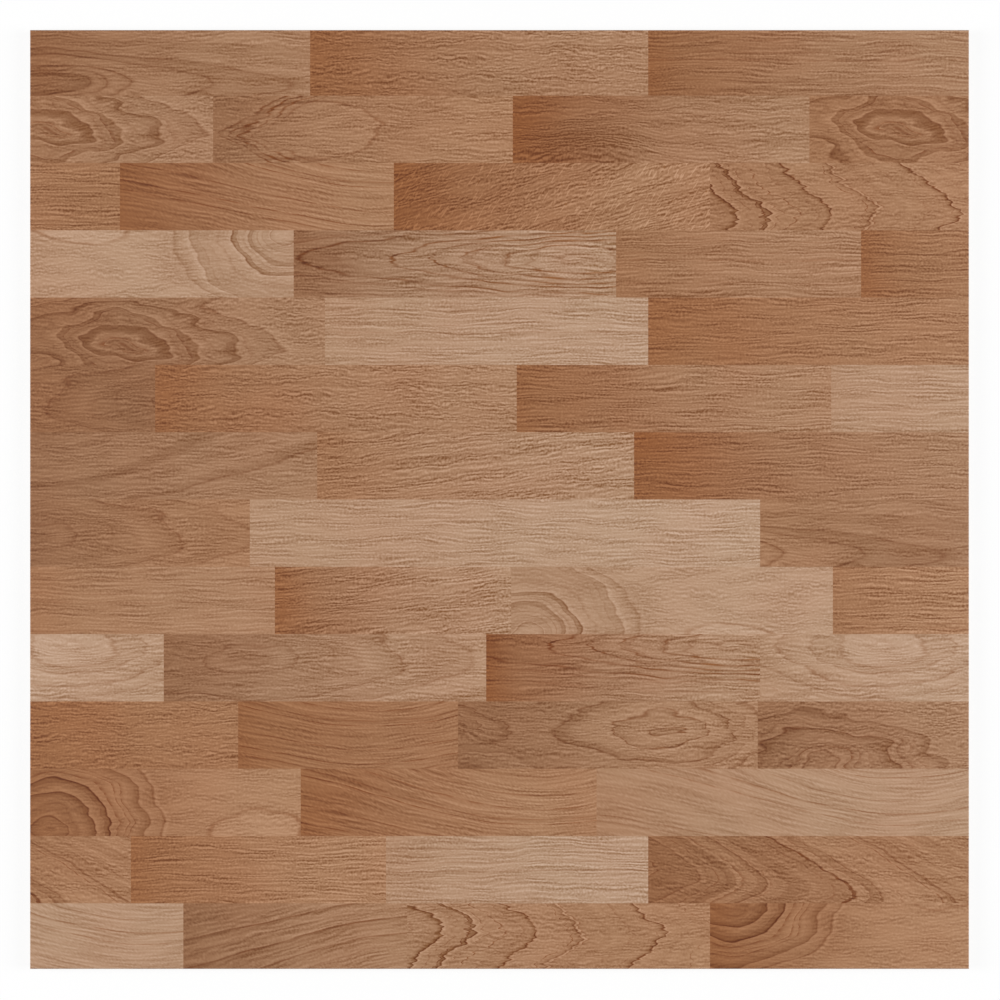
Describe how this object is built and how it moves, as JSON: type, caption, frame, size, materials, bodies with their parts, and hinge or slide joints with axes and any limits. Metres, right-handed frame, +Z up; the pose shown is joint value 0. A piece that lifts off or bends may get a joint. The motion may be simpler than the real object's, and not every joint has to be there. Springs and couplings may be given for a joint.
{
  "type": "floor tile",
  "caption": "Square glazed ceramic floor tile with a printed wood-strip face, bevelled edges and shallow key pockets pressed into its underside for adhesive.",
  "frame": {"origin": "middle of the bed face, which is the underside that the tile lies on", "axes": "+Z up out of the printed face, +X along the printed wood strips, +Y across the strips"},
  "size_m": [0.6, 0.6, 0.009],
  "materials": {
    "glazed_body": "satin glaze over a wood-strip print on the face, bare fired clay on the edges and underside"
  },
  "bodies": {
    "root": {"floor_tile": "glazed_body"}
  },
  "joints": []
}
